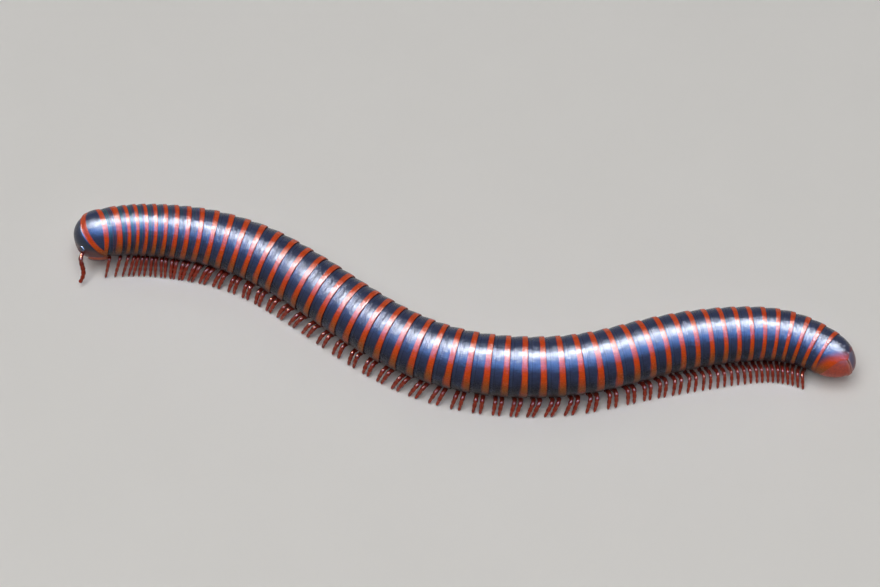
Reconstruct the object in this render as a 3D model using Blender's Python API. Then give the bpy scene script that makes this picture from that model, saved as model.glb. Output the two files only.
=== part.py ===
"""A spirobolid millipede, life size, walking on a flat floor.

The head is at -X, the tail at +X, and the feet stand at z = 0. Lengths are in metres.
Distances along the body run from the front of the head to the tip of the tail.
"""
import math

import bmesh
import bpy
import numpy as np
from mathutils import Matrix, Vector

NAME = "millipede"
GAP = 0.0003
MERGE = 0.000003

# Axis of the trunk in plan, from just ahead of the head to just past the tail
ROUTE = (
    (-0.0555, 0.0104),
    (-0.0470, 0.0118),
    (-0.0380, 0.0111),
    (-0.0320, 0.0094),
    (-0.0265, 0.0066),
    (-0.0190, 0.0011),
    (-0.0120, -0.0044),
    (-0.0045, -0.0088),
    (0.0036, -0.0112),
    (0.0122, -0.0117),
    (0.0203, -0.0105),
    (0.0285, -0.0080),
    (0.0368, -0.0062),
    (0.0437, -0.0057),
    (0.0489, -0.0069),
    (0.0533, -0.0098),
    (0.0560, -0.0134),
)
ROUTE_OFFSET = (-0.0001, 0.0005)
ROUTE_SAMPLES = 1200
FRAME_STEP = 0.0002
BELLY_CLEARANCE = 0.0016
HEAD_LIFT = 0.0010
HEAD_LIFT_END = 0.030
TAIL_DROP = 0.0003

# Girth: the trunk narrows over the neck rings and again to the tail
BODY_RADIUS = 0.0044
NECK_NARROWING = 0.00080
NECK_START = 0.0059
NECK_FADE = 0.015
TAIL_NARROWING = 0.00080
TAIL_START = 0.1108
TAIL_FADE = 0.013
BELLY_FLATTENING = 0.93

# Rings: the collum is ring 1, and the last ring carries no legs
COLLUM_END = 0.0045
RING_COUNT = 52
TRUNK_END = 0.1151
NECK_RING = 1.30
MIDDLE_RING = 2.45
TAIL_RING = 1.90
SECOND_RING_EXTRA = 0.85
NECK_RINGS = (4, 16)
TAIL_RINGS = (37, 48)
RING_FRONT_SHARE = 0.955
RING_STEP = 0.00012
RING_SIDES = 18
SECTION_LAST_RINGS = (8, 15, 22, 28, 34, 40, 46, 52)

# The front rings stand askew: furthest back on the left, this far round from the top
RING_SKEW = 0.26
SKEW_ANGLE = math.radians(35)
SKEW_START = 0.010
SKEW_END = 0.080

# Legs: one pair on rings 2 to 4, two pairs on each later ring
SINGLE_PAIR_RINGS = (2, 3, 4)
LEG_MIDDLE = 0.51
LEG_SPREAD = 0.24
LEG_PAIRING = 0.07
LEG_PAIRING_RINGS = (4, 14)
LEG_UNPAIRING_RINGS = (36, 44)
SINGLE_LEG_PLACE = 0.55
LEG_RADIUS = 0.00034
LEG_TAPER = (1.0, 1.0, 1.0, 0.8, 0.6)
LEG_REACH = (0.18, 0.50, 0.86, 1.06, 1.06)
TAIL_LEG_REACH = 1.2
LEG_SWING_SHARE = (0.0, 0.0, 0.15, 0.9, 1.0)
LEG_BOW = (0.0, 0.0, 0.00015, 0.00005, 0.0)
LEG_ROOT_RISE = 0.22
LEG_HIP_DEPTH = 0.00015
LEG_KNEE_RISE = 0.0008
LEG_ANKLE_HEIGHT = 0.0005
LEG_SWING = 0.0005
LEG_LEAN = -0.0006
TAIL_LEG_SWING = 0.0002
TAIL_LEG_LEAN = 0.0009
TAIL_LEAN_START = 0.099
TAIL_LEAN_END = 0.112
TAIL_LEG_THINNING = 0.18
NECK_LEG_THINNING = 0.22
NECK_LEG_START = 0.008
NECK_LEG_END = 0.022
SWING_FADE_START = 0.082
SWING_FADE_END = 0.098
WAVE_LEGS = 15.0
WAVE_START = 5.5

# Head and collum: a dome on the axis, cut by a slanted margin
DOME_CENTRE = 0.0041
DOME_RADIUS = 0.0035
HEAD_RADIUS = 0.0033
HEAD_FRONT = 0.0037
MOUTH_DROP = 0.0041
MOUTH_WIDTH_SHARE = 0.80
JAW_FULLNESS = 3.2
NECK_RADIUS = 0.0025
COLLUM_LINING = 0.0028
LINING_CUT = 0.001
COLLUM_SLANT = math.radians(36)
COLLUM_FRONT_TOP = 0.0019
MARGIN_TOP_SHARE = 0.6
LOBE_DEPTH = 0.0024
DOME_SEGMENTS = 24
DOME_RINGS = 14
DOME_REAR_LIMIT = 0.25
DOME_REAR = COLLUM_END - DOME_CENTRE - GAP / 2
NOTCH_RADIUS = 0.0006
NOTCH_PLACE_SHARE = 0.25
NOTCH_HALF_LENGTH = 0.003
CHEEK_SIZE = (0.0024, 0.0017, 0.0022)
CHEEK_PLACE = (0.0026, 0.00075, -0.0029)
EYE_LENGTH = 0.0010
EYE_HEIGHT = 0.0008
EYE_THICKNESS = 0.0007
EYE_ANGLE = math.radians(42)
EYE_PROUD = 0.0002
EYE_SEGMENTS = 12
EYE_RINGS = 8
SOCKET_CLEARANCE = 0.0003

# Antennae: seven joints that hang down beside the face, as steps out, ahead and up
ANTENNA_RADIUS = 0.00034
ANTENNA_JOINTS = 7
ANTENNA_WAIST = 0.75
ANTENNA_ROOT = (0.0017, 0.0026, -0.0015)
RIGHT_ANTENNA_SWEEP = 0.2
ANTENNA_STEPS = (
    (0.0012, 0.0006, -0.0002),
    (0.0010, -0.0001, -0.0017),
    (0.0005, 0.0007, -0.0016),
)
PIT_POINTS = 4

# Tail: the last ring tapers to a blunt point over two valves
TAIL_TIP = 0.1194
TAIL_BLUNTNESS = 1.8
TAIL_STEPS = 9
TAIL_LAST_STEP = 9.6
VALVE_START = 0.1166
VALVE_SLANT = math.radians(32)

# Blocks that cut are larger than what they cut
BLOCK_SIZE = 0.014

RING_COLOUR = (0.07, 0.09, 0.17)
COLLUM_COLOUR = (0.55, 0.12, 0.03)
HEAD_COLOUR = (0.06, 0.07, 0.12)
MANDIBLE_COLOUR = (0.20, 0.06, 0.05)
EYE_COLOUR = (0.01, 0.01, 0.012)
ANTENNA_COLOUR = (0.35, 0.05, 0.03)
VALVE_COLOUR = (0.45, 0.07, 0.03)
PREANAL_COLOUR = (0.45, 0.10, 0.06)

UP = Vector((0.0, 0.0, 1.0))


def ease(value, start, end):
    """Runs smoothly from 0 at start to 1 at end."""
    share = min(max((value - start) / (end - start), 0.0), 1.0)
    return share * share * (3.0 - 2.0 * share)


def spline_slopes(values):
    """Slopes of the natural cubic spline through evenly numbered values."""
    count = len(values)
    matrix = np.eye(count) * 4.0
    matrix += np.eye(count, k=1) + np.eye(count, k=-1)
    matrix[0, 0] = 2.0
    matrix[-1, -1] = 2.0
    right = np.zeros_like(values)
    right[1:-1] = 3.0 * (values[2:] - values[:-2])
    right[0] = 3.0 * (values[1] - values[0])
    right[-1] = 3.0 * (values[-1] - values[-2])
    return np.linalg.solve(matrix, right)


def sample_route():
    """Plan points close together along the smooth axis, with their distances."""
    knots = np.array(ROUTE) + np.array(ROUTE_OFFSET)
    slopes = spline_slopes(knots)
    places = np.linspace(0.0, len(knots) - 1.0, ROUTE_SAMPLES)
    first = np.minimum(places.astype(int), len(knots) - 2)
    t = (places - first)[:, None]
    start, end = knots[first], knots[first + 1]
    leave, arrive = slopes[first], slopes[first + 1]
    points = (
        start * (2 * t ** 3 - 3 * t ** 2 + 1)
        + leave * (t ** 3 - 2 * t ** 2 + t)
        + end * (3 * t ** 2 - 2 * t ** 3)
        + arrive * (t ** 3 - t ** 2)
    )
    steps = np.hypot(*np.diff(points, axis=0).T)
    return points, np.concatenate(([0.0], np.cumsum(steps)))


ROUTE_POINTS, ROUTE_DISTANCES = sample_route()


def body_radius(distance):
    neck = NECK_NARROWING * math.exp(-(distance - NECK_START) / NECK_FADE)
    tail = TAIL_NARROWING * math.exp((distance - TAIL_START) / TAIL_FADE)
    return BODY_RADIUS - neck - tail


def belly_height(distance):
    lift = HEAD_LIFT * (1.0 - ease(distance, 0.0, HEAD_LIFT_END))
    drop = TAIL_DROP * ease(distance, SWING_FADE_START, TRUNK_END)
    return BELLY_CLEARANCE + lift - drop


def axis_point(distance):
    """The point of the trunk's axis at this distance from the front of the head."""
    x = np.interp(distance, ROUTE_DISTANCES, ROUTE_POINTS[:, 0])
    y = np.interp(distance, ROUTE_DISTANCES, ROUTE_POINTS[:, 1])
    reach = min(max(distance, COLLUM_END), TRUNK_END)
    z = belly_height(reach) + BELLY_FLATTENING * body_radius(reach)
    return Vector((x, y, z))


def axis_frame(distance):
    """Point, direction to the tail, the animal's left, and up, at this distance."""
    ahead = axis_point(distance + FRAME_STEP)
    behind = axis_point(distance - FRAME_STEP)
    along = (ahead - behind).normalized()
    left = along.cross(UP).normalized()
    return axis_point(distance), along, left, left.cross(along)


def ring_margins():
    """Distances of the rear margins, from the collum's to the last ring's."""
    lengths = []
    for ring in range(2, RING_COUNT + 1):
        length = NECK_RING + (MIDDLE_RING - NECK_RING) * ease(ring, *NECK_RINGS)
        length -= (MIDDLE_RING - TAIL_RING) * ease(ring, *TAIL_RINGS)
        if ring == 2:
            length += SECOND_RING_EXTRA
        lengths.append(length)
    scale = (TRUNK_END - COLLUM_END) / sum(lengths)
    margins = [COLLUM_END]
    for length in lengths:
        margins.append(margins[-1] + length * scale)
    return margins


MARGINS = ring_margins()


def ring_skew(distance):
    return RING_SKEW * (1.0 - ease(distance, SKEW_START, SKEW_END))


def ring_section(distance, radius, sides=RING_SIDES):
    """Points round the body, flattened a little under the belly."""
    centre, along, left, up = axis_frame(distance)
    skew = ring_skew(distance)
    points = []
    for index in range(sides):
        angle = math.tau * (index + 0.5) / sides
        side = radius * math.sin(angle)
        rise = radius * math.cos(angle)
        if rise < 0.0:
            rise *= BELLY_FLATTENING
        back = skew * (side * math.sin(SKEW_ANGLE) + rise * math.cos(SKEW_ANGLE))
        points.append(centre + left * side + up * rise + along * back)
    return points


def new_object(name, mesh):
    data = bpy.data.meshes.new(name)
    mesh.to_mesh(data)
    mesh.free()
    item = bpy.data.objects.new(name, data)
    bpy.context.scene.collection.objects.link(item)
    return item


def loft(name, sections):
    """A closed solid through unlike sections that run the same way round."""
    mesh = bmesh.new()
    rows = [[mesh.verts.new(point) for point in section] for section in sections]
    sides = len(rows[0])
    for near, far in zip(rows, rows[1:]):
        for index in range(sides):
            after = (index + 1) % sides
            mesh.faces.new((near[index], near[after], far[after], far[index]))
    mesh.faces.new(rows[0])
    mesh.faces.new(rows[-1])
    bmesh.ops.recalc_face_normals(mesh, faces=mesh.faces)
    return new_object(name, mesh)


def solid_from_curve(name, paths, radius, resolution=0):
    """Tapered tubes along paths of (point, radius share) pairs, as one welded mesh."""
    curve = bpy.data.curves.new(name, "CURVE")
    curve.dimensions = "3D"
    curve.bevel_depth = radius
    curve.bevel_resolution = resolution
    curve.use_fill_caps = True
    for path in paths:
        spline = curve.splines.new("POLY")
        spline.points.add(len(path) - 1)
        for knot, (point, share) in zip(spline.points, path):
            knot.co = (*point, 1.0)
            knot.radius = share
    tube = bpy.data.objects.new(name + "_path", curve)
    bpy.context.scene.collection.objects.link(tube)
    bpy.context.view_layer.update()
    evaluated = tube.evaluated_get(bpy.context.evaluated_depsgraph_get())
    data = bpy.data.meshes.new_from_object(evaluated)
    mesh = bmesh.new()
    mesh.from_mesh(data)
    bmesh.ops.remove_doubles(mesh, verts=mesh.verts, dist=MERGE)
    bmesh.ops.recalc_face_normals(mesh, faces=mesh.faces)
    bpy.data.objects.remove(tube)
    bpy.data.meshes.remove(data)
    return new_object(name, mesh)


def apply_modifiers(item):
    bpy.context.view_layer.update()
    evaluated = item.evaluated_get(bpy.context.evaluated_depsgraph_get())
    data = bpy.data.meshes.new_from_object(evaluated)
    item.modifiers.clear()
    item.data = data


def keep_largest(item):
    """Keeps only the closed surface with the most volume, without tiny edges."""
    mesh = bmesh.new()
    mesh.from_mesh(item.data)
    bmesh.ops.remove_doubles(mesh, verts=mesh.verts, dist=MERGE)
    waiting = set(mesh.faces)
    shells = []
    while waiting:
        stack = [waiting.pop()]
        shell = set(stack)
        while stack:
            face = stack.pop()
            for edge in face.edges:
                for other in edge.link_faces:
                    if other in waiting:
                        waiting.remove(other)
                        shell.add(other)
                        stack.append(other)
        shells.append(shell)
    if len(shells) > 1:
        best = max(shells, key=shell_volume)
        extra = [face for face in mesh.faces if face not in best]
        bmesh.ops.delete(mesh, geom=extra, context="FACES")
        loose = [vert for vert in mesh.verts if not vert.link_faces]
        bmesh.ops.delete(mesh, geom=loose, context="VERTS")
    mesh.to_mesh(item.data)
    mesh.free()


def shell_volume(faces):
    total = 0.0
    for face in faces:
        corners = [vert.co for vert in face.verts]
        for first, second in zip(corners[1:], corners[2:]):
            total += corners[0].dot(first.cross(second))
    return abs(total)


def fuse(core, pieces):
    """One union of the core with closed pieces, which are then removed."""
    group = bpy.data.collections.new(core.name + "_pieces")
    bpy.context.scene.collection.children.link(group)
    for piece in pieces:
        bpy.context.scene.collection.objects.unlink(piece)
        group.objects.link(piece)
    join = core.modifiers.new("join", "BOOLEAN")
    join.operation = "UNION"
    join.operand_type = "COLLECTION"
    join.collection = group
    join.solver = "EXACT"
    apply_modifiers(core)
    for piece in pieces:
        bpy.data.objects.remove(piece)
    bpy.data.collections.remove(group)
    keep_largest(core)


def trim(item, cutter, operation="DIFFERENCE"):
    """Cuts the item with a cutter, or keeps only what they share."""
    cut = item.modifiers.new("cut", "BOOLEAN")
    cut.operation = operation
    cut.object = cutter
    cut.solver = "EXACT"
    apply_modifiers(item)
    keep_largest(item)


def box(name, size, matrix):
    """A box of this size in the frame of the matrix, as a cutter."""
    mesh = bmesh.new()
    bmesh.ops.create_cube(mesh, size=1.0)
    bmesh.ops.scale(mesh, vec=size, verts=mesh.verts)
    bmesh.ops.transform(mesh, matrix=matrix, verts=mesh.verts)
    bmesh.ops.recalc_face_normals(mesh, faces=mesh.faces)
    return new_object(name, mesh)


def frame_matrix(origin, x_axis, y_axis, z_axis):
    matrix = Matrix.Identity(4)
    for column, axis in enumerate((x_axis, y_axis, z_axis, origin)):
        for row in range(3):
            matrix[row][column] = axis[row]
    return matrix


def finish(item, colour, roughness):
    """Gives a finished node its material, smooth shading and collection."""
    material = bpy.data.materials.new(item.name)
    material.use_nodes = True
    shader = material.node_tree.nodes["Principled BSDF"]
    shader.inputs["Base Color"].default_value = (*colour, 1.0)
    shader.inputs["Roughness"].default_value = roughness
    shader.inputs["Metallic"].default_value = 0.0
    item.data.materials.clear()
    item.data.materials.append(material)
    item.data.shade_smooth()
    item.data.set_sharp_from_angle(angle=math.radians(30))
    bpy.context.scene.collection.objects.unlink(item)
    bpy.data.collections[NAME].objects.link(item)


def remove(*items):
    for item in items:
        bpy.data.objects.remove(item)


# Trunk


def ring_body(name, first_ring, last_ring):
    """The rings from first to last, each a little wider at its rear margin."""
    sections = []
    for ring in range(first_ring, last_ring + 1):
        front = MARGINS[ring - 2] + RING_STEP
        rear = MARGINS[ring - 1]
        if ring == first_ring:
            front = MARGINS[ring - 2] + GAP / 2
        if ring == last_ring:
            rear -= GAP / 2
        sections.append(ring_section(front, RING_FRONT_SHARE * body_radius(front)))
        sections.append(ring_section(rear, body_radius(rear)))
    return loft(name, sections)


def leg_places():
    """For each pair of legs, its ring and its distance along the body."""
    places = []
    for ring in range(2, RING_COUNT):
        front, rear = MARGINS[ring - 2], MARGINS[ring - 1]
        pairing = ease(ring, *LEG_PAIRING_RINGS) - ease(ring, *LEG_UNPAIRING_RINGS)
        half = LEG_SPREAD - LEG_PAIRING * pairing
        shares = (LEG_MIDDLE - half, LEG_MIDDLE + half)
        if ring in SINGLE_PAIR_RINGS:
            shares = (SINGLE_LEG_PLACE,)
        for share in shares:
            distance = front + share * (rear - front)
            ahead = ring_skew(distance) * math.cos(SKEW_ANGLE) * body_radius(distance)
            ahead *= BELLY_FLATTENING
            places.append((ring, distance - ahead))
    return places


def leg_path(number, distance, side):
    """From inside the belly out to the knee and down to a small flat on the floor."""
    centre, along, left, up = axis_frame(distance)
    radius = body_radius(distance)
    belly = centre.z - BELLY_FLATTENING * radius
    heights = (
        belly + LEG_ROOT_RISE * radius,
        belly - LEG_HIP_DEPTH,
        belly + LEG_KNEE_RISE,
        LEG_ANKLE_HEIGHT,
        0.0,
    )
    calm = ease(distance, SWING_FADE_START, SWING_FADE_END)
    swing = LEG_SWING + (TAIL_LEG_SWING - LEG_SWING) * calm
    swing *= math.sin(math.tau * (number - WAVE_START) / WAVE_LEGS)
    swing += LEG_LEAN * (1.0 - calm)
    swing += TAIL_LEG_LEAN * ease(distance, TAIL_LEAN_START, TAIL_LEAN_END)
    slim = 1.0 - TAIL_LEG_THINNING * calm
    slim -= NECK_LEG_THINNING * (1.0 - ease(distance, NECK_LEG_START, NECK_LEG_END))
    level = Vector((along.x, along.y, 0.0)).normalized()
    base = Vector((centre.x, centre.y, 0.0))
    path = []
    wide = radius * (1.0 + (TAIL_LEG_REACH - 1.0) * calm)
    steps = zip(LEG_REACH, heights, LEG_SWING_SHARE, LEG_BOW, LEG_TAPER)
    for reach, height, share, bow, thickness in steps:
        point = base + left * side * reach * wide + level * (swing * share + bow)
        path.append(((point.x, point.y, height), thickness * slim))
    return path


def make_trunk():
    places = leg_places()
    first = 2
    for index, last in enumerate(SECTION_LAST_RINGS, start=1):
        name = f"trunk_{index}"
        body = ring_body(name, first, last)
        paths = []
        for number, (ring, distance) in enumerate(places):
            if first <= ring <= last:
                paths.append(leg_path(number, distance, 1))
                paths.append(leg_path(number, distance, -1))
        legs = solid_from_curve(name + "_legs", paths, LEG_RADIUS)
        fuse(body, [legs])
        finish(body, RING_COLOUR, 0.25)
        first = last + 1


# Head end


def head_frame():
    """The dome's centre with the forward, left and up directions there."""
    centre, along, left, up = axis_frame(DOME_CENTRE)
    return centre, -along, left, up


def dome(name, across, forward, drop, width_share=1.0, cut=DOME_REAR):
    """A rounded form about the dome's centre, cut off as askew as the rings."""
    centre, ahead, left, up = head_frame()
    mesh = bmesh.new()
    bmesh.ops.create_uvsphere(mesh, u_segments=DOME_SEGMENTS, v_segments=DOME_RINGS, radius=1.0)
    for vert in mesh.verts:
        side, front, rise = vert.co
        width = across
        height = across
        fullness = 1.0
        if front < 0.0:
            spread = 1.0 / math.sqrt(max(1.0 - front * front, DOME_REAR_LIMIT))
            side *= spread
            rise = max(rise * spread, -1.0)
        if rise < 0.0:
            height = drop
            width = across * (1.0 - (1.0 - width_share) * rise * rise)
        if -1.0 < rise < 0.0 and width_share < 1.0:
            fullness = math.sqrt((1.0 - abs(rise) ** JAW_FULLNESS) / (1.0 - rise * rise))
        reach = front * forward
        if front > 0.0:
            reach *= fullness
        vert.co = centre + left * side * width * fullness + ahead * reach + up * rise * height
    lean = (left * math.sin(SKEW_ANGLE) + up * math.cos(SKEW_ANGLE)) * RING_SKEW
    bmesh.ops.bisect_plane(
        mesh,
        geom=mesh.verts[:] + mesh.edges[:] + mesh.faces[:],
        plane_co=centre - ahead * cut,
        plane_no=(-ahead - lean).normalized(),
        clear_outer=True,
    )
    bmesh.ops.remove_doubles(mesh, verts=mesh.verts, dist=MERGE)
    rim = [edge for edge in mesh.edges if edge.is_boundary]
    bmesh.ops.contextual_create(mesh, geom=rim)
    bmesh.ops.recalc_face_normals(mesh, faces=mesh.faces)
    return new_object(name, mesh)


def behind_margin(name, clearance):
    """The block behind the collum's slanted front margin and above its lobes."""
    centre, ahead, left, up = head_frame()
    along_face = (-up * math.cos(COLLUM_SLANT) - ahead * math.sin(COLLUM_SLANT)).normalized()
    inward = left.cross(along_face).normalized()
    if inward.dot(ahead) > 0.0:
        inward.negate()
    top = centre + ahead * (DOME_CENTRE - COLLUM_FRONT_TOP)
    top += up * DOME_RADIUS * MARGIN_TOP_SHARE
    lobe = centre - up * LOBE_DEPTH
    depth = (lobe - top).dot(along_face) + clearance
    face = top - inward * clearance
    half = BLOCK_SIZE / 2
    middle = face + along_face * (depth - half) + inward * half
    return box(name, (BLOCK_SIZE,) * 3, frame_matrix(middle, inward, left, along_face))


def make_collum():
    collum = dome("collum", DOME_RADIUS, DOME_RADIUS, DOME_RADIUS)
    lining = dome("lining", COLLUM_LINING, COLLUM_LINING, COLLUM_LINING, cut=LINING_CUT)
    block = behind_margin("block", 0.0)
    trim(collum, block, "INTERSECT")
    trim(collum, lining)
    remove(lining, block)
    finish(collum, COLLUM_COLOUR, 0.25)


def make_head():
    """The head's own dome in front of the collum and its narrow neck under it."""
    centre, ahead, left, up = head_frame()
    head = dome("head", HEAD_RADIUS, HEAD_FRONT, MOUTH_DROP, MOUTH_WIDTH_SHARE)
    block = behind_margin("block", GAP)
    trim(head, block)
    neck = dome("neck", NECK_RADIUS, NECK_RADIUS, NECK_RADIUS)
    fuse(head, [neck])
    place = centre - up * MOUTH_DROP + ahead * HEAD_FRONT * NOTCH_PLACE_SHARE
    reach = ahead * NOTCH_HALF_LENGTH
    path = ((place + reach, 1.0), (place - reach, 1.0))
    notch = solid_from_curve("notch", [path], NOTCH_RADIUS, 2)
    trim(head, notch)
    remove(block, notch)
    return head


def part_cheeks(head):
    """Parts the mandible plates from the head with thin cuts."""
    centre, ahead, left, up = head_frame()
    for word, side in (("left", 1), ("right", -1)):
        across, front, rise = CHEEK_PLACE
        place = centre + left * side * across + ahead * front + up * rise
        frame = frame_matrix(place, left, ahead, up)
        cheek = head.copy()
        cheek.data = head.data.copy()
        cheek.name = f"mandible_{word}"
        bpy.context.scene.collection.objects.link(cheek)
        inner = box("inner", CHEEK_SIZE, frame)
        grown = tuple(length + 2 * GAP for length in CHEEK_SIZE)
        outer = box("outer", grown, frame)
        trim(cheek, inner, "INTERSECT")
        trim(head, outer)
        remove(inner, outer)
        finish(cheek, MANDIBLE_COLOUR, 0.35)


def eye_solid(name, side, grow):
    """An oval bead on the side of the head, or its socket where it is grown."""
    centre, ahead, left, up = head_frame()
    out = left * side * math.sin(EYE_ANGLE) + ahead * math.cos(EYE_ANGLE)
    across = out.cross(up).normalized()
    rise = across.cross(out).normalized()
    reach = 1.0 / math.sqrt(
        (out.dot(left) / HEAD_RADIUS) ** 2
        + (out.dot(ahead) / HEAD_FRONT) ** 2
        + (out.dot(up) / HEAD_RADIUS) ** 2
    )
    place = centre + out * (reach + EYE_PROUD - EYE_THICKNESS / 2)
    mesh = bmesh.new()
    bmesh.ops.create_uvsphere(mesh, u_segments=EYE_SEGMENTS, v_segments=EYE_RINGS, radius=0.5)
    size = Vector((EYE_LENGTH, EYE_HEIGHT, EYE_THICKNESS)) + Vector((grow, grow, grow)) * 2.0
    bmesh.ops.scale(mesh, vec=size, verts=mesh.verts)
    bmesh.ops.transform(mesh, matrix=frame_matrix(place, across, rise, out), verts=mesh.verts)
    bmesh.ops.recalc_face_normals(mesh, faces=mesh.faces)
    return new_object(name, mesh)


def antenna_path(side):
    """From the socket beside the face out, down and a little back."""
    centre, ahead, left, up = head_frame()
    out, front, rise = ANTENNA_ROOT
    point = centre + left * side * out + ahead * front + up * rise
    sweep = 1.0 if side > 0 else RIGHT_ANTENNA_SWEEP
    knots = [point]
    for out, front, rise in ANTENNA_STEPS:
        point = point + left * side * out + ahead * front * sweep + up * rise
        knots.append(point)
    path = []
    for joint in range(2 * ANTENNA_JOINTS + 1):
        share = joint / (2 * ANTENNA_JOINTS) * (len(knots) - 1)
        first = min(int(share), len(knots) - 2)
        point = knots[first].lerp(knots[first + 1], share - first)
        path.append((point, 1.0 if joint % 2 else ANTENNA_WAIST))
    return path


def make_sense_organs(head):
    for word, side in (("left", 1), ("right", -1)):
        socket = eye_solid("socket", side, SOCKET_CLEARANCE)
        trim(head, socket)
        eye = eye_solid(f"eye_{word}", side, 0.0)
        finish(eye, EYE_COLOUR, 0.1)
        path = antenna_path(side)
        pit_path = [(point, 1.0) for point, share in path[:PIT_POINTS]]
        antenna = solid_from_curve(f"antenna_{word}", [path], ANTENNA_RADIUS, 1)
        pit = solid_from_curve("pit", [pit_path], ANTENNA_RADIUS + SOCKET_CLEARANCE, 2)
        trim(head, pit)
        finish(antenna, ANTENNA_COLOUR, 0.3)
        remove(socket, pit)


# Tail end


def tail_radius(distance):
    share = min(max((distance - TRUNK_END) / (TAIL_TIP - TRUNK_END), 0.0), 1.0)
    return body_radius(TRUNK_END) * (1.0 - share ** TAIL_BLUNTNESS) ** (1.0 / TAIL_BLUNTNESS)


def tail_whole(name):
    """The rounded end of the body as one form."""
    start = TRUNK_END + GAP / 2
    sections = []
    for step in range(TAIL_STEPS + 1):
        share = math.sin(math.pi / 2 * step / TAIL_LAST_STEP)
        distance = start + share * (TAIL_TIP - start)
        sections.append(ring_section(distance, RING_FRONT_SHARE * tail_radius(distance)))
    return loft(name, sections)


def valve_block(name, side, clearance):
    """The room of one anal valve: behind a slanted plane and beside the middle."""
    centre, along, left, up = axis_frame(VALVE_START)
    inward = (along * math.cos(VALVE_SLANT) - up * math.sin(VALVE_SLANT)).normalized()
    rise = left.cross(inward).normalized()
    shift = GAP / 2 - clearance
    half = BLOCK_SIZE / 2
    middle = centre + inward * (half - clearance) + left * side * (shift + half)
    return box(name, (BLOCK_SIZE,) * 3, frame_matrix(middle, inward, left, rise))


def make_tail():
    ring = tail_whole("preanal_ring")
    for word, side in (("left", 1), ("right", -1)):
        valve = tail_whole(f"anal_valve_{word}")
        room = valve_block("room", side, 0.0)
        hollow = valve_block("hollow", side, GAP)
        trim(valve, room, "INTERSECT")
        trim(ring, hollow)
        remove(room, hollow)
        finish(valve, VALVE_COLOUR, 0.3)
    finish(ring, PREANAL_COLOUR, 0.3)


def main():
    for item in list(bpy.data.objects):
        bpy.data.objects.remove(item)
    bpy.context.scene.collection.children.link(bpy.data.collections.new(NAME))
    make_trunk()
    make_collum()
    head = make_head()
    part_cheeks(head)
    make_sense_organs(head)
    finish(head, HEAD_COLOUR, 0.3)
    make_tail()


main()
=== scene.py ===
import math
from math import pi, radians, tau

import bmesh
import bpy
import numpy as np
from mathutils import Matrix, Vector


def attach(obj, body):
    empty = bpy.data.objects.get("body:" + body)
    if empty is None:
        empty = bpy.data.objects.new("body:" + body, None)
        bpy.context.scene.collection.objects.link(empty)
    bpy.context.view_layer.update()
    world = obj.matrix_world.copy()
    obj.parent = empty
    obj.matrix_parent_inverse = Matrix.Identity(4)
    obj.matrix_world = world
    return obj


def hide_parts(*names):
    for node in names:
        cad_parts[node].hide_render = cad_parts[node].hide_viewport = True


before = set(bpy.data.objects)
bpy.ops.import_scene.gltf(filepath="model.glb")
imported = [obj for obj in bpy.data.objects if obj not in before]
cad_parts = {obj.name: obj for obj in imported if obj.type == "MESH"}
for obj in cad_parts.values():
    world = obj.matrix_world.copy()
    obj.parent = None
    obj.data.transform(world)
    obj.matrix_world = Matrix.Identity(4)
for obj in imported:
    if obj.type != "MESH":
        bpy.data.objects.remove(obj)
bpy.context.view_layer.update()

# Body measures, the same as the solids': metres, distances from the front of the head
ROUTE = (
    (-0.0555, 0.0104), (-0.0470, 0.0118), (-0.0380, 0.0111), (-0.0320, 0.0094), (-0.0265, 0.0066),
    (-0.0190, 0.0011), (-0.0120, -0.0044), (-0.0045, -0.0088), (0.0036, -0.0112), (0.0122, -0.0117),
    (0.0203, -0.0105), (0.0285, -0.0080), (0.0368, -0.0062), (0.0437, -0.0057), (0.0489, -0.0069),
    (0.0533, -0.0098), (0.0560, -0.0134),
)
ROUTE_OFFSET = (-0.0001, 0.0005)
ROUTE_SAMPLES = 1200
FRAME_STEP = 0.0002
BELLY_CLEARANCE = 0.0016
HEAD_LIFT = 0.0010
HEAD_LIFT_END = 0.030
TAIL_DROP = 0.0003
BODY_RADIUS = 0.0044
NECK_NARROWING = 0.00080
NECK_START = 0.0059
NECK_FADE = 0.015
TAIL_NARROWING = 0.00080
TAIL_START = 0.1108
TAIL_FADE = 0.013
BELLY_FLATTENING = 0.93
COLLUM_END = 0.0045
RING_COUNT = 52
TRUNK_END = 0.1151
NECK_RING = 1.30
MIDDLE_RING = 2.45
TAIL_RING = 1.90
SECOND_RING_EXTRA = 0.85
NECK_RINGS = (4, 16)
TAIL_RINGS = (37, 48)
RING_SKEW = 0.26
SKEW_ANGLE = radians(35)
SKEW_START = 0.010
SKEW_END = 0.080
SINGLE_PAIR_RINGS = (2, 3, 4)
LEG_MIDDLE = 0.51
LEG_SPREAD = 0.24
LEG_PAIRING = 0.07
LEG_PAIRING_RINGS = (4, 14)
LEG_UNPAIRING_RINGS = (36, 44)
SINGLE_LEG_PLACE = 0.55
LEG_REACH = (0.18, 0.50, 0.86, 1.06, 1.06)
TAIL_LEG_REACH = 1.2
LEG_SWING_SHARE = (0.0, 0.0, 0.15, 0.9, 1.0)
LEG_BOW = (0.0, 0.0, 0.00015, 0.00005, 0.0)
LEG_ROOT_RISE = 0.22
LEG_HIP_DEPTH = 0.00015
LEG_KNEE_RISE = 0.0008
LEG_ANKLE_HEIGHT = 0.0005
LEG_SWING = 0.0005
LEG_LEAN = -0.0006
TAIL_LEG_SWING = 0.0002
TAIL_LEG_LEAN = 0.0009
TAIL_LEAN_START = 0.099
TAIL_LEAN_END = 0.112
TAIL_LEG_THINNING = 0.18
NECK_LEG_THINNING = 0.22
NECK_LEG_START = 0.008
NECK_LEG_END = 0.022
SWING_FADE_START = 0.082
SWING_FADE_END = 0.098
WAVE_LEGS = 15.0
WAVE_START = 5.5
DOME_CENTRE = 0.0041
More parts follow.
